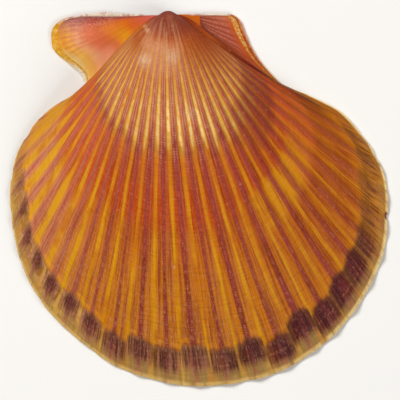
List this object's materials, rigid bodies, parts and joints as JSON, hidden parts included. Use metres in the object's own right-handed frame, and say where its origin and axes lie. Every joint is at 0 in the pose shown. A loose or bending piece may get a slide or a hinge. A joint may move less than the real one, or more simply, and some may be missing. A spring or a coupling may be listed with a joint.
{
  "type": "scallop shell",
  "caption": "Single scallop valve with radiating ribs and unequal ears, hollow beneath, resting on its rim.",
  "frame": {"origin": "middle of the outline, in the plane of the rim that the shell rests on", "axes": "+Z out of the ribbed side, upwards as it lies; +Y towards the straight hinge line; +X towards the smaller rear ear"},
  "size_m": [0.0853, 0.0845, 0.0171],
  "materials": {
    "shell": "satin, orange ribs striped with yellow, pink and maroon"
  },
  "bodies": {
    "root": {"scallop_valve": "shell"}
  },
  "joints": []
}
